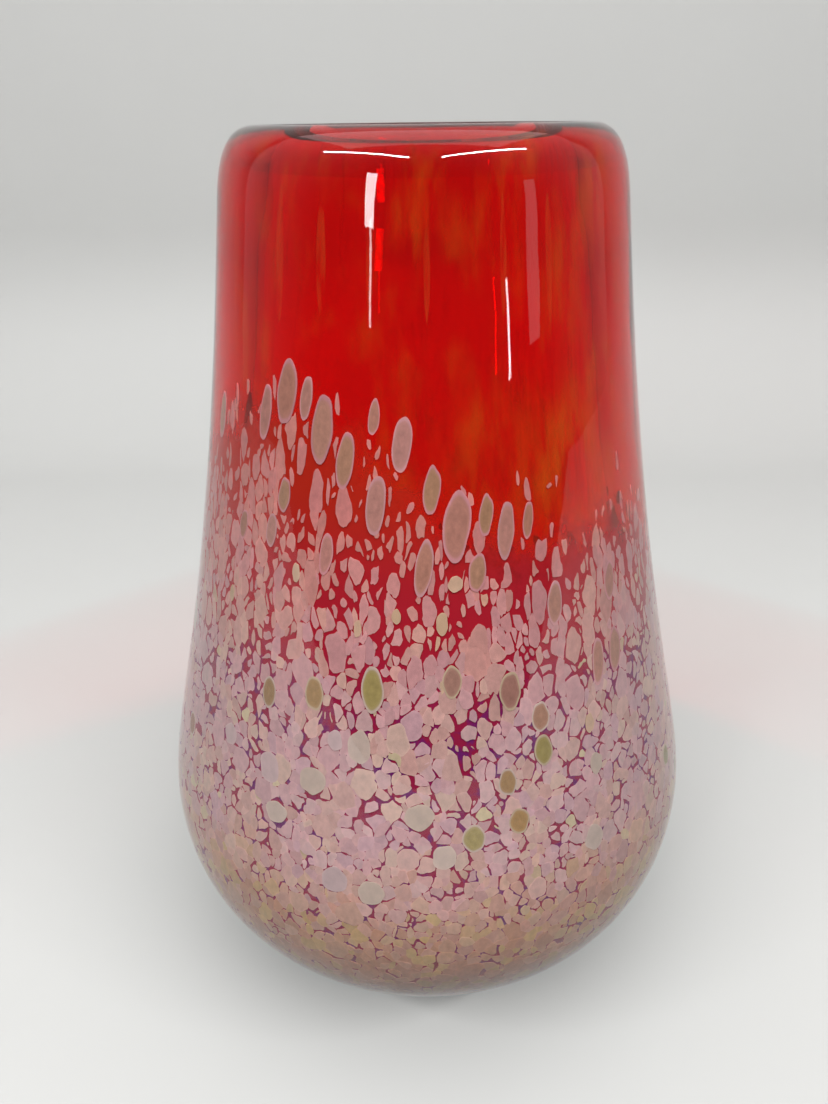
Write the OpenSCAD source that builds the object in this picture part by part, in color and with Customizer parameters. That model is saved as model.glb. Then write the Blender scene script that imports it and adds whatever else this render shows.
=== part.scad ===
// Hand blown vase in cased art glass: a clear first gather, a red overlay, a band of crushed glass
// and larger chips picked up on the red, and a clear outer gather that closes over all of it.
// Millimetres, +Z up, origin at the middle of the foot. The front of the vase faces -Y.

/* [Outline] */
// Height of the vase
height = 180; // [174:1:188]
// Widest diameter, low on the body
belly_d = 116; // [112:1:120]
// Height of the widest place
belly_z = 45; // [42:1:50]
// Diameter where the straight neck meets the rolled shoulder
neck_d = 74; // [74:1:78]
// Diameter of the crest of the lip
crest_d = 59; // [57:1:59]
// Diameter of the open mouth
mouth_d = 54; // [50:1:55]
// Diameter of the ring that the vase stands on
foot_d = 48; // [44:1:50]
// Diameter of the ground and polished hollow under the foot
dish_d = 32; // [24:1:34]

/* [Glass layers] */
// Thickness of the clear outer gather
casing_t = 2.2; // [1.8:0.1:2.6]
// Thickness of the layer that holds the chips
chip_t = 1; // [0.8:0.1:1.2]
// Thickness of the red overlay
red_t = 0.9; // [0.7:0.1:1.1]
// Thickness of the whole wall at the belly
wall_t = 7.5; // [7:0.1:8.5]
// Thickness of the glass under the hollow
floor_t = 13; // [12:1:16]

/* [Crushed glass] */
// Height at which the crushed glass stops, on the axis
frit_top = 100; // [96:1:106]
// Slope of that edge, in degrees
frit_tilt = 26; // [16:1:28]
// Azimuth of the highest place of that edge, in degrees from the front, to the right if positive
frit_turn = -40; // [-60:5:-20]
// Lean of the large ovals, in degrees, tops to the right if positive
oval_lean = 6; // [0:1:8]

/* [Hidden] */
belly_r = belly_d / 2;
neck_r = neck_d / 2;
crest_r = crest_d / 2;
mouth_r = mouth_d / 2;
foot_r = foot_d / 2;
dish_r = dish_d / 2;
neck_z = height - 12;
mouth_z = height - 4;

// depths below the outer surface at which one glass meets the next
chips_from = casing_t;
red_from = chips_from + chip_t;
core_from = red_from + red_t;

// rise of a layer from the foot ring to the axis
foot_rise = 2;
// depth of the hollow under the foot
dish_h = 1.1;
// half width of a block that is larger than the vase
big = 150;
// radius from which a chip's outline is swept outward
sweep_from = 18;
// gap kept between two chips
chip_gap = 0.7;
// straight stretches that stand for one curve of the outline
steps = 10;
// sides of a chip's outline
chip_sides = 12;
$fn = 96;

// outline of the outside, as curves with four control points each
bowl_curve = [[foot_r, 0], [foot_r + 16, 9], [belly_r, 19], [belly_r, belly_z]];
body_curve = [[belly_r, belly_z], [belly_r, belly_z + 16], [neck_r + 9, height * 0.49], [neck_r, neck_z]];
shoulder_curve = [[neck_r, neck_z], [neck_r - 0.7, neck_z + 6], [neck_r - 2, height], [crest_r, height]];
lip_curve = [[crest_r, height], [crest_r - 1.4, height], [mouth_r, height - 1.4], [mouth_r, mouth_z]];

// outline of the hollow, from the mouth down to the axis
hollow_r = belly_r - wall_t;
throat_r = neck_r - wall_t + 0.9;
throat_curve = [
    [mouth_r, mouth_z], [mouth_r, height - 9], [throat_r - 0.9, height - 14], [throat_r, height - 22]];
wall_curve = [
    [throat_r, height - 22], [throat_r + 8.1, height * 0.49],
    [hollow_r, belly_z + 15], [hollow_r, belly_z + 1]];
floor_curve = [
    [hollow_r, belly_z + 1], [hollow_r, belly_z - 17], [hollow_r * 0.7, floor_t], [0, floor_t]];

// Chips as [azimuth, height, width, tall]: azimuth in degrees from the front, positive to the
// right seen from the front, the rest in mm on the surface.
// Upright ovals above the crushed glass
front_ovals = [
    [-35.9, 140.9, 3.9, 11], [-25.5, 135.5, 3.9, 11.2], [-30, 140.2, 2.2, 7.4], [-42.8, 136.5, 2.6, 9.4],
    [-19.4, 130.9, 3, 9.4], [-6, 134, 3.2, 9], [-12.5, 138.2, 1.8, 5.8], [0.8, 126.8, 2.7, 8.2],
    [-12, 123.9, 3.4, 10], [6.4, 120.7, 4.4, 12], [13.1, 122.2, 2.3, 7.2], [17.7, 119.2, 2.8, 9.4],
    [23.3, 120.4, 1.8, 6.4], [10.8, 112.6, 2.9, 6.6], [-1.1, 113.9, 2.9, 9.4], [-23.5, 115, 2.4, 7.4],
    [-35.6, 123.5, 2.4, 6], [-39.1, 116.7, 2.3, 6], [-49.2, 115.8, 2.2, 5.6], [-63.4, 132.9, 2.6, 8.6],
    [29.1, 104.9, 2.9, 8], [46.8, 104.9, 2.9, 7], [46.4, 91.7, 3.4, 8.6], [40.4, 91.3, 3, 9]
];
// Round amber and olive spots in the crushed glass
front_spots = [
    [-36.6, 87.1, 3, 6], [-25, 89.6, 3.4, 6.4], [-12, 92.1, 3.9, 8.4], [4.7, 93.9, 3.2, 6],
    [23.7, 85.1, 3.4, 5.6], [23.9, 78.7, 3.6, 5.8], [15.6, 74.3, 3.2, 5.2], [17.6, 66.5, 3.8, 4.8],
    [8.3, 64.6, 4.2, 5.2], [17.1, 91.1, 3.9, 7], [-65.5, 67.9, 3.6, 5], [64, 59.9, 3.4, 4.6]
];
// Large pale chips, flattened round by the last gather
front_rounds = [
    [-34.8, 72.7, 4.6, 6], [-2.1, 69.1, 5, 5], [2.5, 61.3, 4.4, 5], [-18.7, 54.7, 5, 5.4],
    [-11.4, 53.3, 5, 5], [-32.2, 64.7, 4.6, 4.2], [-47.3, 74.7, 3.5, 4.2], [-24.4, 73.2, 5, 5.4],
    [-14.6, 81.3, 4, 6.4], [-19.8, 81.7, 2.6, 4], [36.9, 72.1, 3, 4.2], [34.3, 57.7, 4.4, 5]
];
// Small bright cream flecks
front_flecks = [
    [5.8, 111, 2.4, 2.6], [-7.1, 105.4, 1.5, 2.6], [36, 80.5, 2, 3.8], [18, 47.7, 1.8, 2.2],
    [-15.6, 102.8, 1.4, 3], [2.8, 104.2, 2, 4], [-31.2, 110.5, 1.5, 3.4], [-52, 101.8, 1.5, 3]
];

// fraction of a whole number of golden sections, an even scatter without a pattern
function scatter(i) = let(g = i * 0.618034) g - floor(g);

// top edge of the crushed glass at an azimuth
function edge_z(a) = frit_top + tan(frit_tilt) * 46 * cos(a - frit_turn);

// true if a chip keeps clear of every chip of a list
function clear_of(c, others) = len([
    for (o = others)
        let(across = abs((c[0] - o[0] + 540) % 360 - 180) * 0.8, along = abs(c[1] - o[1]))
        if (across < (c[2] + o[2]) / 2 + chip_gap && along < (c[3] + o[3]) / 2 + chip_gap) o
]) == 0;

// chips of the sides and the back, out of sight from the front
back_ovals = [for (i = [0 : 19])
    let(a = 75 + 210 * scatter(i))
    [a, edge_z(a) - 24 + 18 * scatter(i * 7), 2.4 + 1.4 * scatter(i * 3), 7 + 4 * scatter(i * 5)]];
back_spread = [for (i = [0 : 23])
    [72 + 216 * scatter(i), 52 + 1.7 * i, 3.4 + 1.4 * scatter(i * 3), 4.6 + 1.6 * scatter(i * 5)]];
back_spots = [for (i = [0 : 2 : 23]) back_spread[i]];
back_rounds = [for (i = [1 : 2 : 23]) back_spread[i]];

ovals = concat(front_ovals, [for (c = back_ovals) if (clear_of(c, front_ovals)) c]);
spots = concat(front_spots, [for (c = back_spots) if (clear_of(c, ovals)) c]);
rounds = concat(front_rounds, [for (c = back_rounds) if (clear_of(c, concat(ovals, spots))) c]);
flecks = [for (c = concat(front_flecks, [for (i = [0 : 5]) [100 + 30 * i, 58 + 8 * i, 1.8, 3]]))
    if (clear_of(c, concat(ovals, spots, rounds))) c];

// small loose chips above the edge, kept where they have room; none on the low side of the edge
loose_tries = [for (i = [0 : 54])
    let(a = 250 * scatter(i) - 150)
    [a, edge_z(a) + 2 + 22 * scatter(i * 11), 1.1 + 0.7 * scatter(i * 3), 2.6 + 2 * scatter(i * 5)]];
loose = [for (c = loose_tries) if (clear_of(c, concat(ovals, flecks))) c];

// long upright streaks drawn out in the orange coat
streaks = [for (i = [0 : 23])
    let(tall = 15 + 5 * scatter(i * 7))
    [15 * i + 6 * scatter(i), height - 20 + 2 * scatter(i * 3), 0.9 + 0.6 * scatter(i * 5), tall]];

// point and direction of a curve at t, from 0 to 1
function on_curve(c, t) =
    pow(1 - t, 3) * c[0] + 3 * t * pow(1 - t, 2) * c[1] + 3 * t * t * (1 - t) * c[2] + pow(t, 3) * c[3];
function along_curve(c, t) =
    pow(1 - t, 2) * (c[1] - c[0]) + 2 * t * (1 - t) * (c[2] - c[1]) + t * t * (c[3] - c[2]);

// the curve sunk by a depth towards the hollow, without its first point where another curve ends
function sunk(c, depth, first = 1) = [for (i = [first : steps])
    let(t = i / steps, s = along_curve(c, t)) on_curve(c, t) + depth / norm(s) * [-s[1], s[0]]];

// the outside of the vase, foot to crest, sunk by a depth
function outside(depth) =
    concat(sunk(bowl_curve, depth, 0), sunk(body_curve, depth), sunk(shoulder_curve, depth));

// where a sunk layer meets the axis
function axis_point(depth) = [[0, depth + foot_rise]];

function backwards(points) = [for (i = [len(points) - 1 : -1 : 0]) points[i]];

// one closed layer of glass between two depths
module layer(from, to) {
    rotate_extrude()
        polygon(concat(axis_point(from), outside(from), backwards(outside(to)), axis_point(to)));
}

// the layer that holds the chips and the orange coat
module chip_layer() {
    layer(chips_from, red_from);
}

// everything below the slanting top edge of the crushed glass
module below_edge() {
    translate([0, 0, frit_top])
        rotate([-frit_tilt, 0, frit_turn])
            translate([-big, -big, -2 * big])
                cube([2 * big, 2 * big, 2 * big]);
}

// points of a chip's outline, about its middle
function chip_outline(wide, tall) = [for (i = [0 : chip_sides - 1])
    let(turn = 360 * (i + 0.5) / chip_sides) [wide / 2 * cos(turn), tall / 2 * sin(turn)]];

// outlines of chips swept through the wall; size scales them, lean turns their tops to the right
module swept(chips, size = 1, lean = 0) {
    for (c = chips)
        rotate([0, 0, c[0]])
            translate([0, -sweep_from, c[1]])
                rotate([90, 0, 0])
                    linear_extrude(belly_r)
                        rotate(-lean)
                            polygon(chip_outline(size * c[2], size * c[3]));
}

module all_chips() {
    swept(ovals, 1, oval_lean);
    swept(spots);
    swept(rounds);
    swept(flecks);
    swept(loose);
    swept(streaks);
}

// sizes of the inner piece of a two-glass chip, as a share of the whole chip
oval_core_share = 0.62;
spot_core_share = 0.68;

module clear_casing() {
    color([0.9, 0.92, 0.9, 0.3])
        rotate_extrude()
            polygon(concat(
                [[0, dish_h], [dish_r * 0.5, dish_h * 0.75], [dish_r * 0.8, dish_h * 0.36], [dish_r, 0]],
                outside(0), sunk(lip_curve, 0), [[crest_r, height - core_from]],
                backwards(outside(chips_from)), axis_point(chips_from)));
}

module orange_coat() {
    color([0.86, 0.16, 0.02, 0.8])
        difference() {
            chip_layer();
            below_edge();
            all_chips();
        }
}

module orange_streaks() {
    color([0.93, 0.36, 0.08, 0.9])
        intersection() {
            chip_layer();
            swept(streaks);
        }
}

module loose_chips() {
    color([0.8, 0.58, 0.6])
        intersection() {
            chip_layer();
            swept(loose);
        }
}

module lilac_ovals() {
    color([0.76, 0.62, 0.66])
        difference() {
            intersection() {
                chip_layer();
                swept(ovals, 1, oval_lean);
            }
            swept(ovals, oval_core_share, oval_lean);
        }
}

module oval_cores() {
    color([0.72, 0.55, 0.47])
        intersection() {
            chip_layer();
            swept(ovals, oval_core_share, oval_lean);
        }
}

module frit_bed() {
    color([0.78, 0.6, 0.6])
        difference() {
            intersection() {
                chip_layer();
                below_edge();
            }
            all_chips();
        }
}

module spot_halos() {
    color([0.82, 0.74, 0.7])
        difference() {
            intersection() {
                chip_layer();
                swept(spots);
            }
            swept(spots, spot_core_share);
        }
}

module amber_spots() {
    color([0.62, 0.47, 0.2])
        intersection() {
            chip_layer();
            swept(spots, spot_core_share);
        }
}

module pale_rounds() {
    color([0.83, 0.72, 0.74])
        intersection() {
            chip_layer();
            swept(rounds);
        }
}

module cream_flecks() {
    color([0.9, 0.84, 0.62])
        intersection() {
            chip_layer();
            swept(flecks);
        }
}

module red_overlay() {
    color([0.72, 0.02, 0.01, 0.75])
        layer(red_from, core_from);
}

module inner_core() {
    color([0.92, 0.93, 0.9, 0.3])
        rotate_extrude()
            polygon(concat(
                axis_point(core_from), outside(core_from),
                sunk(throat_curve, 0, 0), sunk(wall_curve, 0), sunk(floor_curve, 0)));
}

clear_casing();
orange_coat();
orange_streaks();
loose_chips();
lilac_ovals();
oval_cores();
frit_bed();
spot_halos();
amber_spots();
pale_rounds();
cream_flecks();
red_overlay();
inner_core();
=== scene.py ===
"""Looks of a hand blown vase in cased glass: smooth turned layers, thousands of small chips of crushed
glass packed on the red overlay, larger two-glass chips, and a clear gather over all of it, whose lustre is
painted into the chips and the ground beneath it as a lilac and purple sheen.

Lengths are in millimetres until a mesh is built, which is where they become metres. Azimuth is in degrees
from the front of the vase (-Y), positive to the right seen from the front.
"""
import math
import random

import bpy
import numpy as np
from mathutils import Euler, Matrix, Vector, kdtree, noise


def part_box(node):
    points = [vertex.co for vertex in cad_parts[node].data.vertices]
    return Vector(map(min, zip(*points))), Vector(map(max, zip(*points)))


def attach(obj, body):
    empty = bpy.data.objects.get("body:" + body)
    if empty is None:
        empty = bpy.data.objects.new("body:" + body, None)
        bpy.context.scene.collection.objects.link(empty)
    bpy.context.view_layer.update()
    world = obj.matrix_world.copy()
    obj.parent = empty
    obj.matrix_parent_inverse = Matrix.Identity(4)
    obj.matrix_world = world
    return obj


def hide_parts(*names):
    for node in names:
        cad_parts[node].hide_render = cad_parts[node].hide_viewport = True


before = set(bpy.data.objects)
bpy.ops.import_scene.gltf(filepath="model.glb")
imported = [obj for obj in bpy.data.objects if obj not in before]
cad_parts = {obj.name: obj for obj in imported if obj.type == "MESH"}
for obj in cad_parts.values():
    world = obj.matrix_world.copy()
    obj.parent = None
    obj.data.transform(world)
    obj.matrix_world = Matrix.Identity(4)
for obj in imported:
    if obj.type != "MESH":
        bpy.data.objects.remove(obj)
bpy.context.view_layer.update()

MM = 0.001
rng = random.Random(41)
# without this the vector noise is seeded from the clock and differs from run to run
noise.seed_set(41)

# ---------------------------------------------------------------- sizes, from the frame where it holds them
low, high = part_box("clear_casing")
HEIGHT = high.z / MM
BELLY_R = high.x / MM
BELLY_Z = 45.0
NECK_R = 37.0
NECK_Z = HEIGHT - 12
CREST_R = 29.5
MOUTH_R = 27.0
MOUTH_Z = HEIGHT - 4
FOOT_R = 24.0
DISH_R = 16.0
DISH_H = 1.1
FOOT_RISE = 2.0
WALL_T = 7.5
FLOOR_T = 13.0

# depths below the outer surface at which one glass meets the next
CHIPS_FROM = 2.2
RED_FROM = 3.2
CORE_FROM = 4.1
SEAM = 0.02

HOLLOW_R = BELLY_R - WALL_T
THROAT_R = NECK_R - WALL_T + 0.9

BOWL = [(FOOT_R, 0), (FOOT_R + 16, 9), (BELLY_R, 19), (BELLY_R, BELLY_Z)]
BODY = [(BELLY_R, BELLY_Z), (BELLY_R, BELLY_Z + 16), (NECK_R + 9, HEIGHT * 0.49), (NECK_R, NECK_Z)]
SHOULDER = [(NECK_R, NECK_Z), (NECK_R - 0.7, NECK_Z + 6), (NECK_R - 2, HEIGHT), (CREST_R, HEIGHT)]
LIP = [(CREST_R, HEIGHT), (CREST_R - 1.4, HEIGHT), (MOUTH_R, HEIGHT - 1.4), (MOUTH_R, MOUTH_Z)]
THROAT = [(MOUTH_R, MOUTH_Z), (MOUTH_R, HEIGHT - 9), (THROAT_R - 0.9, HEIGHT - 14), (THROAT_R, HEIGHT - 22)]
WALL = [(THROAT_R, HEIGHT - 22), (THROAT_R + 8.1, HEIGHT * 0.49), (HOLLOW_R, BELLY_Z + 15), (HOLLOW_R, BELLY_Z + 1)]
FLOOR = [(HOLLOW_R, BELLY_Z + 1), (HOLLOW_R, BELLY_Z - 17), (HOLLOW_R * 0.7, FLOOR_T), (0, FLOOR_T)]

# larger chips as (azimuth, height, width, tall)
FRONT_OVALS = [
    (-35.9, 140.9, 3.9, 11), (-25.5, 135.5, 3.9, 11.2), (-30, 140.2, 2.2, 7.4), (-42.8, 136.5, 2.6, 9.4),
    (-19.4, 130.9, 3, 9.4), (-6, 134, 3.2, 9), (-12.5, 138.2, 1.8, 5.8), (0.8, 126.8, 2.7, 8.2),
    (-12, 123.9, 3.4, 10), (6.4, 120.7, 4.4, 12), (13.1, 122.2, 2.3, 7.2), (17.7, 119.2, 2.8, 9.4),
    (23.3, 120.4, 1.8, 6.4), (10.8, 112.6, 2.9, 6.6), (-1.1, 113.9, 2.9, 9.4), (-23.5, 115, 2.4, 7.4),
    (-35.6, 123.5, 2.4, 6), (-39.1, 116.7, 2.3, 6), (-49.2, 115.8, 2.2, 5.6), (-63.4, 132.9, 2.6, 8.6),
    (29.1, 104.9, 2.9, 8), (46.8, 104.9, 2.9, 7), (46.4, 91.7, 3.4, 8.6), (40.4, 91.3, 3, 9),
]
FRONT_SPOTS = [
    (-36.6, 87.1, 3, 6), (-25, 89.6, 3.4, 6.4), (-12, 92.1, 3.9, 8.4), (4.7, 93.9, 3.2, 6),
    (23.7, 85.1, 3.4, 5.6), (23.9, 78.7, 3.6, 5.8), (15.6, 74.3, 3.2, 5.2), (17.6, 66.5, 3.8, 4.8),
    (8.3, 64.6, 4.2, 5.2), (17.1, 91.1, 3.9, 7), (-65.5, 67.9, 3.6, 5), (64, 59.9, 3.4, 4.6),
]
FRONT_ROUNDS = [
    (-34.8, 72.7, 4.6, 6), (-2.1, 69.1, 5, 5), (2.5, 61.3, 4.4, 5), (-18.7, 54.7, 5, 5.4),
    (-11.4, 53.3, 5, 5), (-32.2, 64.7, 4.6, 4.2), (-47.3, 74.7, 3.5, 4.2), (-24.4, 73.2, 5, 5.4),
    (-14.6, 81.3, 4, 6.4), (-19.8, 81.7, 2.6, 4), (36.9, 72.1, 3, 4.2), (34.3, 57.7, 4.4, 5),
]
FRONT_FLECKS = [
    (5.8, 111, 2.4, 2.6), (-7.1, 105.4, 1.5, 2.6), (36, 80.5, 2, 3.8), (18, 47.7, 1.8, 2.2),
    (-15.6, 102.8, 1.4, 3), (2.8, 104.2, 2, 4), (-31.2, 110.5, 1.5, 3.4), (-52, 101.8, 1.5, 3),
]


# ---------------------------------------------------------------- the outline
def bezier(points, steps, first=1):
    """Points of a cubic curve and the unit normals that point towards the hollow."""
    p = [np.array(q, float) for q in points]
    t = np.linspace(0, 1, steps + 1)[first:, None]
    at = (1 - t) ** 3 * p[0] + 3 * t * (1 - t) ** 2 * p[1] + 3 * t * t * (1 - t) * p[2] + t ** 3 * p[3]
    along = (1 - t) ** 2 * (p[1] - p[0]) + 2 * t * (1 - t) * (p[2] - p[1]) + t * t * (p[3] - p[2])
    inward = np.stack([-along[:, 1], along[:, 0]], 1)
    return at, inward / np.linalg.norm(inward, axis=1)[:, None]


def joined(parts):
    return np.concatenate([at for at, _ in parts]), np.concatenate([inward for _, inward in parts])


OUT, INWARD = joined([bezier(BOWL, 56, 0), bezier(BODY, 90), bezier(SHOULDER, 30)])
RUN = np.concatenate([[0], np.cumsum(np.linalg.norm(np.diff(OUT, axis=0), axis=1))])


def sunk(depth):
    """The outside from foot to crest, sunk by a depth."""
    return OUT + depth * INWARD


def at_height(z):
    """Distance along the outside at a height."""
    return np.interp(z, OUT[:, 1], RUN)


def on_layer(azimuth, run, depth):
    """Places on the surface sunk by a depth, for arrays of azimuth and distance along the outside."""
    r = np.interp(run, RUN, OUT[:, 0]) + depth * np.interp(run, RUN, INWARD[:, 0])
    z = np.interp(run, RUN, OUT[:, 1]) + depth * np.interp(run, RUN, INWARD[:, 1])
    a = np.radians(azimuth)
    return np.stack([r * np.sin(a), -r * np.cos(a), z], -1)


# ---------------------------------------------------------------- meshes
def new_piece(name, verts, faces, materials, slot, nodes, which=None, smooth=True):
    """A mesh piece in metres that rides on the root body and stands for CAD nodes."""
    mesh = bpy.data.meshes.new(name)
    mesh.from_pydata((np.asarray(verts) * MM).tolist(), [], faces)
    for material in materials:
        mesh.materials.append(material)
    if which is not None:
        mesh.polygons.foreach_set("material_index", np.asarray(which, np.int32))
    mesh.polygons.foreach_set("use_smooth", [smooth] * len(mesh.polygons))
    mesh.update()
    piece = bpy.data.objects.new(name, mesh)
    bpy.context.scene.collection.objects.link(piece)
    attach(piece, "root")
    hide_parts(*nodes)
    return piece


def turned(outline, kinds, segments=256, waves=None):
    """Vertices, faces and material indices of a closed turned shape. outline runs around the section
    from the axis and back to it; kinds gives a material for each stretch between two points."""
    outline = np.asarray(outline, float)
    angles = np.linspace(0, 2 * math.pi, segments, endpoint=False)
    verts, rings = [], []
    for i, (r, z) in enumerate(outline):
        if r < 1e-6:
            rings.append([len(verts)] * segments)
            verts.append((0, 0, z))
            continue
        rings.append(list(range(len(verts), len(verts) + segments)))
        for a in angles:
            rr = r - (waves(a, z) if waves else 0)
            verts.append((rr * math.sin(a), -rr * math.cos(a), z))
    faces, which = [], []
    for i in range(len(outline) - 1):
        lower, upper = rings[i], rings[i + 1]
        for j in range(segments):
            k = (j + 1) % segments
            quad = (lower[j], lower[k], upper[k], upper[j])
            face = tuple(dict.fromkeys(quad))
            if len(face) > 2:
                faces.append(face)
                which.append(kinds[i])
    return verts, faces, which


def hand_waves(amount, tall):
    """Inward unevenness of blown glass, in mm, never outward."""
    def depth(a, z):
        where = Vector((2.2 * math.sin(a), 2.2 * math.cos(a), z / tall))
        return amount * (0.5 + 0.5 * noise.noise(where))
    return depth


# ---------------------------------------------------------------- materials
def linear(r, g, b):
    """Colour from 0-255 display values."""
    def one(c):
        c = c / 255
        return c / 12.92 if c <= 0.04045 else ((c + 0.055) / 1.055) ** 2.4
    return (one(r), one(g), one(b), 1.0)


class Shader:
    """A material and short ways to add and link its nodes."""

    def __init__(self, name):
        self.material = bpy.data.materials.new(name)
        self.material.use_nodes = True
        self.tree = self.material.node_tree
        self.tree.nodes.clear()
        self.out = self.tree.nodes.new("ShaderNodeOutputMaterial")

    def node(self, kind, inputs=None, **settings):
        n = self.tree.nodes.new(kind)
        for key, value in settings.items():
            setattr(n, key, value)
        for key, value in (inputs or {}).items():
            self.put(n.inputs[key], value)
        return n

    def put(self, socket, value):
        if isinstance(value, bpy.types.NodeSocket):
            self.tree.links.new(value, socket)
        else:
            socket.default_value = value

    def place(self, scale=(1, 1, 1)):
        """Object coordinates in metres, stretched; a small z scale draws a pattern out upright."""
        coords = self.node("ShaderNodeTexCoord")
        return self.node("ShaderNodeMapping", {"Vector": coords.outputs["Object"], "Scale": scale}).outputs[0]

    def noise(self, size, stretch=1.0, detail=3.0, rough=0.5, lacunarity=2.0):
        """Noise with grains of a size in mm, drawn out upright."""
        n = self.node("ShaderNodeTexNoise", {
            "Vector": self.place((1, 1, 1 / stretch)), "Scale": 1 / (size * MM), "Detail": detail,
            "Roughness": rough, "Lacunarity": lacunarity})
        return n.outputs["Fac"]

    def range(self, value, from_low, from_high, to_low=0.0, to_high=1.0, smooth=True):
        n = self.node("ShaderNodeMapRange", {
            "Value": value, "From Min": from_low, "From Max": from_high, "To Min": to_low, "To Max": to_high})
        n.interpolation_type = "SMOOTHSTEP" if smooth else "LINEAR"
        return n.outputs["Result"]

    def math(self, operation, a, b):
        return self.node("ShaderNodeMath", {0: a, 1: b}, operation=operation).outputs[0]

    def blend(self, factor, a, b, mode="MIX"):
        n = self.node("ShaderNodeMix", data_type="RGBA", blend_type=mode)
        self.put(n.inputs[0], factor)
        self.put(n.inputs[6], a)
        self.put(n.inputs[7], b)
        return n.outputs[2]

    def height(self):
        """Height on the vase in metres."""
        coords = self.node("ShaderNodeTexCoord")
        return self.node("ShaderNodeSeparateXYZ", {0: coords.outputs["Object"]}).outputs["Z"]

    def across(self):
        """Place to the left or right in metres."""
        coords = self.node("ShaderNodeTexCoord")
        return self.node("ShaderNodeSeparateXYZ", {0: coords.outputs["Object"]}).outputs["X"]

    def mix(self, factor, a, b):
        n = self.node("ShaderNodeMixShader", {0: factor, 1: a, 2: b})
        return n.outputs[0]

    def done(self, surface):
        self.tree.links.new(surface, self.out.inputs["Surface"])
        return self.material


def polished_glass(name, roughness, film):
    """Clear glass against air, lustred by a thin film where one is given; light passes straight through it to what
    it covers.
    """
    s = Shader(name)
    ripple = s.noise(9.0, stretch=3.0, detail=2.0)
    bump = s.node("ShaderNodeBump", {"Height": ripple, "Strength": 0.06, "Distance": 0.001})
    glass = s.node("ShaderNodeBsdfPrincipled", {
        "Base Color": (0.985, 0.975, 0.975, 1), "Transmission Weight": 1.0, "IOR": 1.5,
        "Roughness": roughness, "Normal": bump.outputs[0]})
    if film:
        s.put(glass.inputs["Thin Film Thickness"], film)
        s.put(glass.inputs["Thin Film IOR"], 1.9)
    clear = s.node("ShaderNodeBsdfTransparent", {"Color": (1, 1, 1, 1)})
    path = s.node("ShaderNodeLightPath")
    return s.done(s.mix(path.outputs["Is Shadow Ray"], glass.outputs[0], clear.outputs[0]))


def seam_glass(name):
    """Where one clear glass is fused to the next there is nothing to see."""
    s = Shader(name)
    return s.done(s.node("ShaderNodeBsdfTransparent", {"Color": (1, 1, 1, 1)}).outputs[0])


def red_glass(name):
    """Transparent deep red, a little lighter and warmer in cloudy patches."""
    s = Shader(name)
    cloudy = s.noise(14.0, stretch=1.8, detail=4.0)
    tint = s.blend(s.range(cloudy, 0.42, 0.68), (0.90, 0.012, 0.003, 1), (0.94, 0.05, 0.006, 1))
    return s.done(s.node("ShaderNodeBsdfTransparent", {"Color": tint}).outputs[0])


def bed_ground(name):
    """What shows between packed chips: crimson, a painted purple sheen in patches low down that stands for the
    reflection of the outer glass's lustre, peach near the foot. Where the mesh says that the bed is thin it lets
    light through."""
    s = Shader(name)
    z = s.height()
    fine = s.noise(2.2, stretch=1.2, detail=3.0)
    wide = s.noise(12.0, stretch=1.0, detail=2.0)
    upper = s.blend(s.range(z, 0.126, 0.104), linear(218, 46, 26), linear(206, 34, 54))
    crimson = s.blend(s.range(z, 0.104, 0.082), upper, linear(178, 34, 78))
    # painted sheen: purple patches low down stand for the reflection of the outer glass's lustre
    purple_sheen = s.math("MULTIPLY", s.range(fine, 0.44, 0.6), s.range(z, 0.100, 0.080))
    purple_sheen = s.math("MULTIPLY", purple_sheen, s.range(wide, 0.36, 0.6, 0.25, 1.0))
    crimson = s.blend(purple_sheen, crimson, linear(128, 38, 122))
    peach = s.blend(wide, linear(196, 124, 84), linear(178, 92, 66))
    ground = s.blend(s.range(z, 0.044, 0.022, 0.0, 0.75), crimson, peach)
    lit = s.node("ShaderNodeBsdfDiffuse", {"Color": ground})
    glow = s.node("ShaderNodeBsdfTranslucent", {"Color": ground})
    body = s.mix(0.5, lit.outputs[0], glow.outputs[0])
    clear = s.node("ShaderNodeBsdfTransparent", {"Color": (1, 1, 1, 1)})
    cover = s.node("ShaderNodeAttribute", attribute_name="cover").outputs["Fac"]
    broken = s.math("ADD", cover, s.range(fine, 0.3, 0.7, -0.15, 0.15, smooth=False))
    return s.done(s.mix(s.range(broken, 0.25, 0.85), clear.outputs[0], body))


def orange_glass(name):
    """Thin orange coat above the chips, mottled and drawn out in upright streaks."""
    s = Shader(name)
    streaky = s.noise(2.6, stretch=9.0, detail=4.0, rough=0.6)
    cloudy = s.noise(11.0, stretch=1.8, detail=3.0)
    patch = s.math("MULTIPLY", s.range(cloudy, 0.45, 0.7), s.range(streaky, 0.35, 0.7))
    tint = s.blend(patch, (1.0, 0.80, 0.7, 1), (0.95, 0.68, 0.45, 1))
    clear = s.node("ShaderNodeBsdfTransparent", {"Color": tint})
    tone = s.blend(streaky, linear(255, 150, 24), linear(236, 96, 22))
    lit = s.node("ShaderNodeBsdfDiffuse", {"Color": tone})
    glow = s.node("ShaderNodeBsdfTranslucent", {"Color": tone})
    body = s.mix(0.4, lit.outputs[0], glow.outputs[0])
    zone = s.math("MULTIPLY", s.range(s.across(), -0.012, 0.03), s.range(s.height(), 0.15, 0.128))
    zone = s.math("MULTIPLY", zone, s.range(streaky, 0.32, 0.68, 0.03, 0.22))
    share = s.math("ADD", s.math("MULTIPLY", patch, 0.24), zone)
    return s.done(s.mix(share, clear.outputs[0], body))


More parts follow.
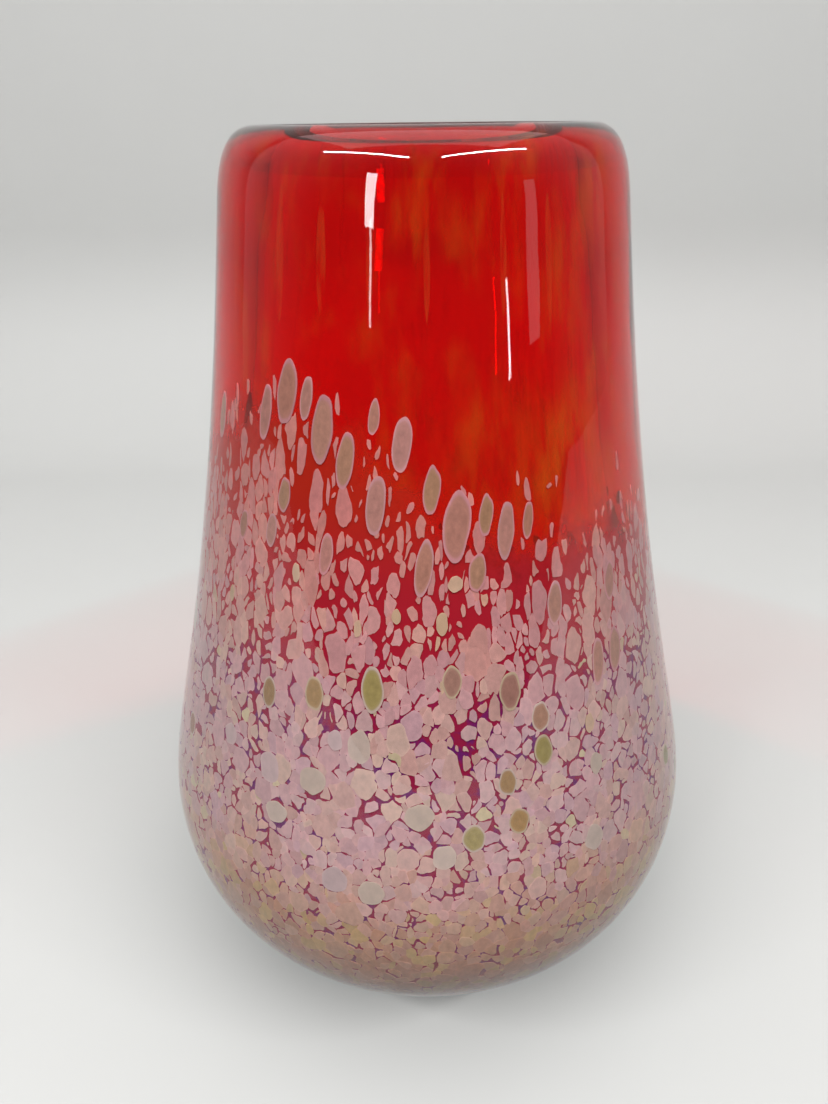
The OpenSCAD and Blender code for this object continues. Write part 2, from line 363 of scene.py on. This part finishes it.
def streak_glass(name):
    s = Shader(name)
    grain = s.noise(1.2, stretch=8.0)
    clear = s.node("ShaderNodeBsdfTransparent", {"Color": (1.0, 0.92, 0.8, 1)})
    tone = s.blend(grain, linear(250, 150, 70), linear(226, 84, 34))
    lit = s.node("ShaderNodeBsdfDiffuse", {"Color": tone})
    glow = s.node("ShaderNodeBsdfTranslucent", {"Color": tone})
    body = s.mix(0.4, lit.outputs[0], glow.outputs[0])
    return s.done(s.mix(s.range(grain, 0.3, 0.7, 0.0, 0.1), clear.outputs[0], body))


# share of the light on a chip that comes out at its other side
CHIP_GLOW = 0.34


def chip_glass(name, grain=1.1, contrast=0.16):
    """Opaque chip: its own colours from the mesh, clouded by fine noise."""
    s = Shader(name)
    own = s.node("ShaderNodeVertexColor", layer_name="chip").outputs["Color"]
    clouds = s.noise(grain, stretch=1.4, detail=4.0, rough=0.6)
    shade = s.range(clouds, 0.25, 0.75, 1 - contrast, 1 + contrast * 0.6, smooth=False)
    tone = s.node("ShaderNodeCombineColor", {0: shade, 1: shade, 2: shade}).outputs[0]
    colour = s.blend(1.0, own, tone, "MULTIPLY")
    body = s.node("ShaderNodeBsdfPrincipled", {
        "Base Color": colour, "Roughness": 0.45, "Specular IOR Level": 0.0})
    glow = s.node("ShaderNodeBsdfTranslucent", {"Color": colour})
    return s.done(s.mix(CHIP_GLOW, body.outputs[0], glow.outputs[0]))


OUTER = polished_glass("lustred_glass", 0.02, 0.0)
INNER = polished_glass("clear_glass", 0.01, 0.0)
FUSED = seam_glass("fused_seam")
RED = red_glass("red_glass")
GROUND = bed_ground("crimson_ground_glass")
ORANGE = orange_glass("orange_glass")
STREAK = streak_glass("orange_streak_glass")
CHIP = chip_glass("crushed_chip_glass")
HALO = chip_glass("pale_chip_glass", 1.6, 0.12)
CORE = chip_glass("tan_chip_glass", 0.9, 0.2)


# ---------------------------------------------------------------- turned layers
def layer_piece(name, outer_depth, inner_depth, outline_from, materials, slot, nodes, waves=None):
    """A closed layer between two depths, from a distance along the outside up to the crest."""
    keep = RUN >= outline_from
    outer, inner = sunk(outer_depth)[keep], sunk(inner_depth)[keep]
    start = [] if outline_from > 0 else [(0, outer_depth + FOOT_RISE)]
    end = [] if outline_from > 0 else [(0, inner_depth + FOOT_RISE)]
    outline = start + outer.tolist() + inner[::-1].tolist() + end
    if not start:
        outline.append(outline[0])
    turn = len(start) + len(outer) - 1
    kinds = [0 if i < turn else 1 for i in range(len(outline) - 1)]
    verts, faces, which = turned(outline, kinds)
    return new_piece(name, verts, faces, materials, slot, nodes, which)


dish = [(0, DISH_H), (DISH_R * 0.3, DISH_H * 0.91), (DISH_R * 0.55, DISH_H * 0.7),
        (DISH_R * 0.8, DISH_H * 0.36), (DISH_R, 0.0), (DISH_R + 2, 0.0), (FOOT_R - 1, 0.0)]
lip = bezier(LIP, 20)[0]
casing_outline = (dish + OUT.tolist() + lip.tolist() + [(CREST_R, HEIGHT - CORE_FROM)]
                  + sunk(CHIPS_FROM)[::-1].tolist() + [(0, CHIPS_FROM + FOOT_RISE)])
air_end = len(dish) + len(OUT) + len(lip) - 1
kinds = [0 if i < air_end else 1 for i in range(len(casing_outline) - 1)]
casing = new_piece("clear_casing_glass", *turned(casing_outline, kinds)[:2], [OUTER, FUSED],
                   "clear_casing", ["clear_casing"], turned(casing_outline, kinds)[2])

hollow = np.concatenate([bezier(THROAT, 24, 0)[0], bezier(WALL, 70)[0], bezier(FLOOR, 40)[0]])
core_outer = sunk(CORE_FROM + SEAM)
core_outline = [(0, CORE_FROM + SEAM + FOOT_RISE)] + core_outer.tolist() + hollow.tolist()
air_from = len(core_outer) + 1
kinds = [1 if i < air_from else 0 for i in range(len(core_outline) - 1)]
verts, faces, which = turned(core_outline, kinds)
core = new_piece("inner_core_glass", verts, faces, [INNER, FUSED], "inner_core", ["inner_core"], which)

# the red comes up to the lip and thins out just inside the mouth
lip_inward = bezier(LIP, 20)[1]
red_outer = sunk(RED_FROM + SEAM)
red_lip = bezier(LIP, 20)[0][4:] + 0.9 * lip_inward[4:]
red_outline = ([(0, RED_FROM + SEAM + FOOT_RISE)] + red_outer.tolist() + red_lip.tolist()
               + [(MOUTH_R + 0.9, HEIGHT - 8), (MOUTH_R + 1.1, HEIGHT - 8), (MOUTH_R + 1.1, MOUTH_Z),
                  (CREST_R, HEIGHT - CORE_FROM + SEAM)]
               + sunk(CORE_FROM - SEAM)[::-1].tolist() + [(0, CORE_FROM - SEAM + FOOT_RISE)])
kinds = [0 if i < 1 + len(red_outer) + len(red_lip) else 1 for i in range(len(red_outline) - 1)]
verts, faces, which = turned(red_outline, kinds)
red = new_piece("red_overlay_glass", verts, faces, [RED, FUSED], "red_overlay", ["red_overlay"], which)


# ---------------------------------------------------------------- where the chips thin out
EDGE = [(-180, 80), (-150, 82), (-120, 94), (-90, 118), (-60, 139), (-36, 144), (-20, 140), (-6, 132),
        (8, 125), (25, 122), (60, 119), (90, 99), (120, 82), (150, 80), (180, 80)]


def edge(azimuth):
    """Height at which the last loose chips end: high to the left of the front, low at the back."""
    azimuth = (azimuth + 180) % 360 - 180
    for (a, za), (b, zb) in zip(EDGE, EDGE[1:]):
        if azimuth <= b:
            t = (azimuth - a) / (b - a)
            return za + (zb - za) * t * t * (3 - 2 * t)
    return EDGE[-1][1]


def scatter(i):
    return i * 0.618034 % 1


def clear_of(c, others, gap=0.7):
    """True if a chip keeps clear of every chip of a list."""
    for o in others:
        across = abs((c[0] - o[0] + 540) % 360 - 180) * 0.8
        along = abs(c[1] - o[1])
        if across < (c[2] + o[2]) / 2 + gap and along < (c[3] + o[3]) / 2 + gap:
            return False
    return True


def frit_edge(a):
    """Height at which the CAD's frit bed ends."""
    return 100 + math.tan(math.radians(26)) * 46 * math.cos(math.radians(a + 40))


def back_oval(i):
    a = 75 + 210 * scatter(i)
    return (a, frit_edge(a) - 24 + 18 * scatter(i * 7), 2.4 + 1.4 * scatter(i * 3), 7 + 4 * scatter(i * 5))


OVAL_LEAN = 6
back_spread = [(72 + 216 * scatter(i), 52 + 1.7 * i, 3.4 + 1.4 * scatter(i * 3), 4.6 + 1.6 * scatter(i * 5))
               for i in range(24)]
ovals = FRONT_OVALS + [c for c in map(back_oval, range(20)) if clear_of(c, FRONT_OVALS)]
spots = FRONT_SPOTS + [c for c in back_spread[0::2] if clear_of(c, ovals)]
rounds = FRONT_ROUNDS + [c for c in back_spread[1::2] if clear_of(c, ovals + spots)]
flecks = [c for c in FRONT_FLECKS + [(100 + 30 * i, 58 + 8 * i, 1.8, 3) for i in range(6)]
          if clear_of(c, ovals + spots + rounds)]

# ---------------------------------------------------------------- packing of the crushed glass
# Azimuth in radians and a height coordinate of the same scale make shapes keep their proportions;
# STRETCH draws chips out upright towards the neck.
heights = OUT[:, 1]
radii = OUT[:, 0] + CHIPS_FROM * INWARD[:, 0]
STRETCH = 1.15 + 1.55 * np.clip((heights - 72) / 58, 0, 1)
steps = np.diff(RUN) / (0.5 * (radii[1:] * STRETCH[1:] + radii[:-1] * STRETCH[:-1]))
CLIMB = np.concatenate([[0], np.cumsum(steps)])


def to_sheet(azimuth, z):
    return math.radians(azimuth), float(np.interp(at_height(z), RUN, CLIMB))


def radius_at(climb):
    return float(np.interp(climb, CLIMB, radii))


CELL = 0.06
# how near two chips may start, as a share of their radii together; low means uneven shapes
SQUEEZE = 0.6
grid = {}


def neighbours(u, v):
    column, row = int(u // CELL), int(v // CELL)
    columns = int(2 * math.pi // CELL) + 1
    for i in (-1, 0, 1):
        for j in (-1, 0, 1):
            yield from grid.get(((column + i) % columns, row + j), ())


def around(du):
    return (du + math.pi) % (2 * math.pi) - math.pi


def drop(u, v, r, kind):
    u %= 2 * math.pi
    grid.setdefault((int(u // CELL), int(v // CELL)), []).append((u, v, r, kind))


def free(u, v, r, squeeze):
    u %= 2 * math.pi
    for (x, y, other, _) in neighbours(u, v):
        if around(u - x) ** 2 + (v - y) ** 2 < ((r + other) * squeeze) ** 2:
            return False
    return True


for a, z, w, h in ovals + spots + rounds + flecks:
    u, v = to_sheet(a, z)
    r = radius_at(v)
    half = w / 2 / r
    reach = float(np.interp(at_height(z + h / 2), RUN, CLIMB)) - v - half
    lean = (h - w) / 2 / r * math.sin(math.radians(OVAL_LEAN)) if (a, z, w, h) in ovals else 0
    count = max(1, int(math.ceil(2 * reach / half)))
    for k in range(count + 1):
        share = 2 * k / count - 1
        drop(u + lean * share, v + reach * share, half * 0.92, "large")

top_climb = to_sheet(0, 152)[1]
area = np.cumsum(radii * np.gradient(RUN) * (OUT[:, 1] < 152))
seeds = []
for smallest, largest, wanted in ((1.6, 2.3, 330), (1.0, 1.5, 2300), (0.5, 0.95, 7500)):
    placed = 0
    for _ in range(wanted * 12):
        run = float(np.interp(rng.random() * area[-1], area, RUN))
        u, v = rng.random() * 2 * math.pi, float(np.interp(run, RUN, CLIMB))
        narrow = 1 - 0.3 * min(1, max(0, (float(np.interp(run, RUN, heights)) - 88) / 36))
        half = narrow * rng.uniform(smallest, largest) / radius_at(v)
        if free(u, v, half, SQUEEZE):
            drop(u, v, half, "small")
            seeds.append((u, v, half))
            placed += 1
            if placed == wanted:
                break

everything = [(u + shift, v, r) for cell in grid.values() for (u, v, r, _) in cell
              for shift in (-2 * math.pi, 0, 2 * math.pi) if -0.4 < u + shift < 2 * math.pi + 0.4]
tree = kdtree.KDTree(len(everything))
for i, (u, v, _) in enumerate(everything):
    tree.insert((u, v, 0), i)
tree.balance()


def cut(polygon, nx, ny, limit):
    """The part of a polygon where nx x + ny y <= limit."""
    kept = []
    for i, (x0, y0) in enumerate(polygon):
        x1, y1 = polygon[(i + 1) % len(polygon)]
        d0, d1 = nx * x0 + ny * y0 - limit, nx * x1 + ny * y1 - limit
        if d0 <= 0:
            kept.append((x0, y0))
        if d0 * d1 < 0:
            t = d0 / (d0 - d1)
            kept.append((x0 + t * (x1 - x0), y0 + t * (y1 - y0)))
    return kept


def gap_between(u, v, thin):
    """Width of the ground shown between two chips, in mm. Many neighbours are melted together."""
    r = radius_at(v)
    place = Vector((math.sin(u) * r, math.cos(u) * r, v * r))
    z = float(np.interp(v, CLIMB, heights))
    wide, fine = noise.noise(place / 9.0), noise.noise(place / 1.9)
    low_down = min(1, max(0, (62 - z) / 20))
    high_up = min(1, max(0, (z - 74) / 34))
    return max(-0.3, -0.06 - 0.12 * low_down + 0.16 * high_up + 0.42 * wide + 1.15 * fine + 0.8 * thin * thin)


def cell_of(u, v, r, thin):
    """Room of one chip among its neighbours, each wall moved in by half the gap."""
    room = 2.6 * r
    polygon = [(-room, -room), (room, -room), (room, room), (-room, room)]
    for co, i, distance in tree.find_range((u, v, 0), 0.16):
        if distance < 1e-9:
            continue
        other = everything[i][2]
        dx, dy = (co[0] - u) / distance, (co[1] - v) / distance
        gap = gap_between(u + dx * distance / 2, v + dy * distance / 2, thin) / radius_at(v)
        polygon = cut(polygon, dx, dy, (distance ** 2 + r * r - other * other) / (2 * distance) - gap / 2)
        if len(polygon) < 3:
            return None
    return polygon


def rounded(polygon, sides):
    """Corners cut, then points at even distances around it."""
    p = np.array(polygon)
    q = np.roll(p, -1, axis=0)
    p = np.stack([0.83 * p + 0.17 * q, 0.17 * p + 0.83 * q], 1).reshape(-1, 2)
    loop = np.concatenate([p, p[:1]])
    length = np.concatenate([[0], np.cumsum(np.linalg.norm(np.diff(loop, axis=0), axis=1))])
    if length[-1] <= 0:
        return None
    want = np.linspace(0, length[-1], sides, endpoint=False)
    return np.stack([np.interp(want, length, loop[:, 0]), np.interp(want, length, loop[:, 1])], 1)


class Chips:
    """One mesh of many separate chips."""

    def __init__(self):
        self.verts, self.faces, self.colours = [], [], []

    def add(self, rings, colours, closed=True):
        """rings: arrays of (azimuth, run, depth), outermost last edge first; one colour for each ring.
        The last ring is a single point if closed, otherwise the chip has a hole."""
        start = len(self.verts)
        index = []
        for ring, colour in zip(rings, colours):
            places = on_layer(ring[:, 0], ring[:, 1], ring[:, 2])
            index.append(list(range(len(self.verts), len(self.verts) + len(places))))
            self.verts.extend(places.tolist())
            self.colours.extend([colour] * len(places))
        n = len(index[0])
        pairs = list(zip(index, index[1:]))
        if not closed:
            pairs.append((index[-1], index[0]))
        for a, b in pairs:
            for j in range(n):
                k = (j + 1) % n
                if len(b) == 1:
                    self.faces.append((a[j], a[k], b[0]))
                else:
                    self.faces.append((a[j], a[k], b[k], b[j]))
        if closed:
            self.faces.append(tuple(reversed(index[0])))

    def piece(self, name, material, slot, nodes):
        o = new_piece(name, self.verts, self.faces, [material], slot, nodes)
        layer = o.data.color_attributes.new("chip", "FLOAT_COLOR", "POINT")
        layer.data.foreach_set("color", np.array(self.colours, np.float32).ravel())
        o.data.set_sharp_from_angle(angle=math.radians(40))
        return o


def shade(colour, amount):
    return tuple(min(1, c * amount) for c in colour[:3]) + (1.0,)


def between(a, b, t):
    return tuple(x + (y - x) * t for x, y in zip(a, b))


# painted sheen: the lilac of this palette is the chips' own pink-grey with a cast that stands for the reflection of
# the outer glass's lustre, which is drawn clear
LILAC_AND_SHEEN = [linear(212, 169, 172), linear(208, 163, 166), linear(214, 176, 176), linear(206, 165, 172)]
BEIGE = [linear(214, 174, 166), linear(210, 168, 160), linear(217, 183, 170), linear(208, 163, 155)]
PEACH = [linear(212, 162, 132), linear(208, 152, 122), linear(212, 172, 120), linear(202, 148, 122)]
# painted shade: the chips turn darker and more orange towards the foot
FOOT_SHADE = linear(200, 114, 72)


def chip_colour(azimuth, z):
    """Lilac on the neck, lilac and beige round the belly, peach and cream towards the foot. The lilac is the chips'
    own pink-grey with a painted sheen that stands for the reflection of the outer glass's lustre; towards the foot
    the chips are darkened by painted shade.
    """
    a = math.radians(azimuth)
    place = Vector((50 * math.sin(a), 50 * math.cos(a), z))
    drift = noise.noise(place / 7.0) + 0.35 * noise.noise(place / 24.0) + rng.uniform(-0.22, 0.22)
    family = BEIGE if drift > 0.06 else LILAC_AND_SHEEN
    colour = family[int(2 + 6 * noise.noise(place / 3.0) + rng.uniform(-0.8, 0.8)) % len(family)]
    if rng.random() < 0.02:
        colour = linear(212, 192, 160)
    colour = between(colour, linear(220, 130, 122), 0.75 * min(1, max(0, (z - 84) / 36)))
    low_down = min(1, max(0, (60 - z) / 22 + rng.uniform(-0.25, 0.25)))
    colour = between(colour, rng.choice(PEACH), low_down)
    # painted shade, darker and more orange below 38 mm
    colour = between(colour, FOOT_SHADE, min(0.85, max(0, (38 - z) / 24)))
    return shade(colour, rng.uniform(0.93, 1.06))


# a chip is a thin plate melted flat on the ground; depths of its underside, edge and top
PLATE_LOW, PLATE_TOP = 2.46, 2.25
GROUND_DEPTH = 2.48
WARP, ROUGH = 0.5, 0.22

bed, loose = Chips(), Chips()
for u, v, half in seeds:
    r = radius_at(v)
    run = float(np.interp(v, CLIMB, RUN))
    z = float(np.interp(run, RUN, OUT[:, 1]))
    azimuth = math.degrees(u)
    azimuth = azimuth - 360 if azimuth > 180 else azimuth
    top = edge(azimuth)
    thin = min(1, max(0, (z - top + 30) / 34))
    if z > top - 12 and rng.random() < (z - top + 12) / 20:
        continue
    if rng.random() < (0.03 if half * r < 0.8 else 0.0) + 0.22 * thin:
        continue
    polygon = cell_of(u, v, half, thin)
    if not polygon:
        continue
    small = half * r < 0.8
    sides = 9 if small else 15 if half * r < 1.3 else 20
    shape = rounded(polygon, sides)
    if shape is None:
        continue
    centre = shape.mean(axis=0)
    shape = centre + (shape - centre) * np.array([1 - 0.3 * thin, 1 - 0.05 * thin])
    span = np.ptp(shape, axis=0) * r
    if min(span) < 0.35:
        continue
    points = shape + np.array([u, v])
    for p in points:
        place = Vector((math.sin(p[0]) * r, math.cos(p[0]) * r, p[1] * r))
        shift = WARP * noise.noise_vector(place / 1.7) + ROUGH * noise.noise_vector(place / 0.6)
        p += np.array([shift.x, shift.z]) / r
    middle = points.mean(axis=0)
    colour = chip_colour(azimuth, z)
    rim = shade(colour, rng.uniform(1.0, 1.14))

    def ring(scale, depth):
        q = middle + (points - middle) * scale
        return np.stack([np.degrees(q[:, 0]), np.interp(q[:, 1], CLIMB, RUN), np.full(len(q), depth)], 1)

    top_depth = PLATE_TOP + rng.uniform(0.03, 0.16)
    rings = [ring(1.0, PLATE_LOW), ring(1.0, top_depth), ring(0.8, top_depth), ring(0.0, top_depth)[:1]]
    tones = [rim, rim, colour, shade(colour, rng.uniform(0.95, 1.0))]
    if small:
        rings, tones = [rings[0], rings[1], rings[3]], [rim, rim, colour]
    target = loose if z > frit_edge(azimuth) else bed
    target.add(rings, tones)


def ellipse(chip, sides, share, rough, seed, lean=0):
    """Outline of a large chip as (azimuth, run), uneven like a melted edge."""
    a, z, w, h = chip
    r = radius_at(to_sheet(a, z)[1])
    turns = np.linspace(0, 2 * math.pi, sides, endpoint=False)
    edge_noise = np.array([noise.noise(Vector((math.cos(t) * 1.3, math.sin(t) * 1.3, seed))) for t in turns])
    size = share * (1 + rough * edge_noise)
    tall = at_height(z + h / 2) - at_height(z)
    across, along = w / 2 * size * np.cos(turns), tall * size * np.sin(turns)
    c, s = math.cos(math.radians(lean)), math.sin(math.radians(lean))
    return np.stack([a + np.degrees((across * c + along * s) / r), at_height(z) + along * c - across * s], 1)


def with_depth(outline, depth):
    return np.column_stack([outline, np.full(len(outline), depth)])


def two_glass(chips, share, rims, cores, rim_mesh, core_mesh, contrast, lean=0, sides=30):
    """Each chip is a rim of one glass and a core of another that is melted into it."""
    for i, chip in enumerate(chips):
        seed = chip[0] * 0.37 + chip[1]
        rim_colour = shade(rims[i % len(rims)], rng.uniform(0.93, 1.06))
        core_colour = shade(cores[i % len(cores)], rng.uniform(0.92, 1.08))
        core_colour = between(rim_colour, core_colour, rng.uniform(*contrast))
        inner_colour = between(rim_colour, core_colour, 0.85)

        def line(scale, depth):
            return with_depth(ellipse(chip, sides, scale, 0.14, seed, lean), depth)

        rim_mesh.add([line(1, PLATE_LOW), line(1, PLATE_TOP), line(0.9, PLATE_TOP), line(0.82, PLATE_TOP),
                      line(share, PLATE_TOP), line(share, PLATE_LOW)],
                     [rim_colour, shade(rim_colour, 1.1), rim_colour, inner_colour, core_colour, core_colour],
                     closed=False)
        core_mesh.add([line(share, PLATE_LOW), line(share, PLATE_TOP), line(share * 0.5, PLATE_TOP),
                       line(0, PLATE_TOP)[:1]],
                      [core_colour, core_colour, shade(core_colour, 0.94), shade(core_colour, 1.06)])


def one_glass(chips, colours, mesh, sides=26):
    for i, chip in enumerate(chips):
        seed = chip[0] * 0.37 + chip[1]
        colour = shade(colours[i % len(colours)], rng.uniform(0.95, 1.05))

        def line(scale, depth):
            return with_depth(ellipse(chip, sides, scale, 0.22, seed), depth)

        mesh.add([line(1, PLATE_LOW), line(1, PLATE_TOP), line(0.84, PLATE_TOP), line(0, PLATE_TOP)[:1]],
                 [colour, shade(colour, 1.1), colour, shade(colour, 0.96)])


oval_rims, oval_cores, halos, ambers, pale, cream, streaks = (Chips() for _ in range(7))
two_glass(ovals, 0.72, [linear(214, 150, 154), linear(208, 145, 149), linear(211, 155, 157)],
          [linear(186, 130, 108), linear(184, 140, 102), linear(190, 134, 116)], oval_rims, oval_cores,
          (0.55, 1.0), OVAL_LEAN)
two_glass(spots, 0.68, [linear(202, 178, 166), linear(196, 172, 146)],
          [linear(164, 122, 66), linear(170, 128, 72), linear(166, 148, 84), linear(172, 118, 108),
           linear(170, 114, 84), linear(156, 138, 74)], halos, ambers, (0.75, 1.0))
one_glass(rounds, [linear(204, 176, 176), linear(200, 178, 164), linear(206, 184, 172)], pale)
one_glass(flecks, [linear(216, 180, 154), linear(210, 176, 146)], cream)
streak_list = [(15 * i + 6 * scatter(i), HEIGHT - 20 + 2 * scatter(i * 3), 0.9 + 0.6 * scatter(i * 5),
                15 + 5 * scatter(i * 7)) for i in range(24)]
one_glass(streak_list, [linear(220, 90, 36)], streaks, sides=20)

bed.piece("frit_bed_chips", CHIP, "frit_bed", ["frit_bed"])
ground = layer_piece("frit_bed_ground", GROUND_DEPTH, RED_FROM - SEAM, 0, [GROUND, FUSED], "frit_bed", ["frit_bed"])
cover = ground.data.attributes.new("cover", "FLOAT", "POINT")
for vertex, value in zip(ground.data.vertices, cover.data):
    x, y, z = vertex.co / MM
    reach = edge(math.degrees(math.atan2(x, -y))) - z
    value.value = min(1, max(0, (reach + 7) / 24))
loose.piece("loose_small_chips", CHIP, "loose_chips", ["loose_chips"])
oval_rims.piece("lilac_oval_rims", HALO, "lilac_ovals", ["lilac_ovals"])
oval_cores.piece("oval_tan_cores", CORE, "oval_cores", ["oval_cores"])
halos.piece("spot_pale_halos", HALO, "spot_halos", ["spot_halos"])
ambers.piece("amber_spot_cores", CORE, "amber_spots", ["amber_spots"])
pale.piece("pale_round_chips", HALO, "pale_rounds", ["pale_rounds"])
cream.piece("cream_fleck_chips", HALO, "cream_flecks", ["cream_flecks"])
streaks.piece("orange_streak_slivers", STREAK, "orange_streaks", ["orange_streaks"])
layer_piece("orange_coat_glass", 2.7, RED_FROM - 3 * SEAM, at_height(92), [ORANGE, FUSED],
            "orange_coat", ["orange_coat"])

# ---------------------------------------------------------------- stage, light and camera
def plain(name, colour, roughness):
    s = Shader(name)
    grain = s.noise(60.0, detail=2.0)
    tone = s.blend(grain, colour, shade(colour, 0.97))
    return s.done(s.node("ShaderNodeBsdfPrincipled", {"Base Color": tone, "Roughness": roughness}).outputs[0])


def sweep(name, material):
    """Floor that curves up into a backdrop."""
    bend, back, top, half = 0.12, 0.30, 1.1, 1.2
    line = [(-0.34, 0.0), (back, 0.0)]
    line += [(back + bend * math.sin(a), bend * (1 - math.cos(a))) for a in np.linspace(0.1, math.pi / 2, 14)]
    line.append((back + bend, top))
    verts = [(x, y, z - 0.0001) for (y, z) in line for x in (-half, half)]
    faces = [(2 * i, 2 * i + 1, 2 * i + 3, 2 * i + 2) for i in range(len(line) - 1)]
    mesh = bpy.data.meshes.new(name)
    mesh.from_pydata(verts, [], faces)
    mesh.materials.append(material)
    mesh.polygons.foreach_set("use_smooth", [True] * len(faces))
    o = bpy.data.objects.new(name, mesh)
    bpy.context.scene.collection.objects.link(o)
    return o


def softbox(name, place, aim, width, tall, power, colour=(1, 1, 1)):
    light = bpy.data.lights.new(name, "AREA")
    light.shape = "RECTANGLE"
    light.size, light.size_y = width, tall
    light.energy = power
    light.color = colour
    o = bpy.data.objects.new(name, light)
    o.location = place
    o.rotation_euler = (Vector(aim) - Vector(place)).to_track_quat("-Z", "Y").to_euler()
    bpy.context.scene.collection.objects.link(o)
    return o


floor = sweep("floor", plain("pale_floor", (0.46, 0.46, 0.45, 1), 0.6))
middle = (0, 0, HEIGHT * MM * 0.5)
softbox("key_left", (-0.44, -0.56, 0.92), middle, 0.8, 0.015, 9.2)
softbox("key_right", (0.46, -0.54, 0.92), middle, 0.8, 0.015, 9.2)
softbox("ceiling", (0.0, 0.10, 1.30), middle, 1.6, 1.3, 7.5)
softbox("window_left", (-0.232, -0.442, 0.31), (0, 0, 0.16), 0.045, 0.18, 0.42)
softbox("window_edge", (-0.226, -0.446, 0.20), (0, 0, 0.15), 0.009, 0.055, 0.016)
softbox("window_right", (0.327, -0.378, 0.165), (0, 0, 0.15), 0.010, 0.05, 0.03)
softbox("pale_band", (0.50, -0.34, 0.25), (0, 0, 0.15), 0.07, 0.2, 0.045)

world = bpy.data.worlds.new("studio")
world.use_nodes = True
tree_of_world = world.node_tree
direction = tree_of_world.nodes.new("ShaderNodeTexCoord")
to_light = tree_of_world.nodes.new("ShaderNodeVectorMath")
to_light.operation = "DOT_PRODUCT"
to_light.inputs[1].default_value = (0, 0.8, 0.6)
dim = tree_of_world.nodes.new("ShaderNodeMapRange")
dim.interpolation_type = "SMOOTHSTEP"
for socket, value in (("From Min", -0.5), ("From Max", 0.9), ("To Min", 0.08), ("To Max", 0.8)):
    dim.inputs[socket].default_value = value
link = tree_of_world.links.new
link(direction.outputs["Generated"], to_light.inputs[0])
link(to_light.outputs["Value"], dim.inputs["Value"])
link(dim.outputs["Result"], tree_of_world.nodes["Background"].inputs["Strength"])
tree_of_world.nodes["Background"].inputs["Color"].default_value = (1, 1, 1, 1)
scene = bpy.context.scene
scene.world = world

LENS = 29.6
PITCH = 25.56
ROLL = -0.67
camera = bpy.data.cameras.new("camera")
camera.lens = LENS
camera.sensor_width = 36
camera.clip_start = 0.005
eye = bpy.data.objects.new("camera", camera)
eye.location = (-2.4 * MM, -177.4 * MM, 180.8 * MM)
eye.rotation_euler = (Euler((math.radians(90 - PITCH), 0, 0)).to_matrix()
                      @ Euler((0, 0, math.radians(ROLL))).to_matrix()).to_euler()
scene.collection.objects.link(eye)
scene.camera = eye

scene.view_settings.view_transform = "Standard"
scene.cycles.max_bounces = 24
scene.cycles.transmission_bounces = 16
scene.cycles.transparent_max_bounces = 48
scene.cycles.glossy_bounces = 8
scene.cycles.diffuse_bounces = 4
scene.cycles.caustics_reflective = False
scene.cycles.caustics_refractive = False
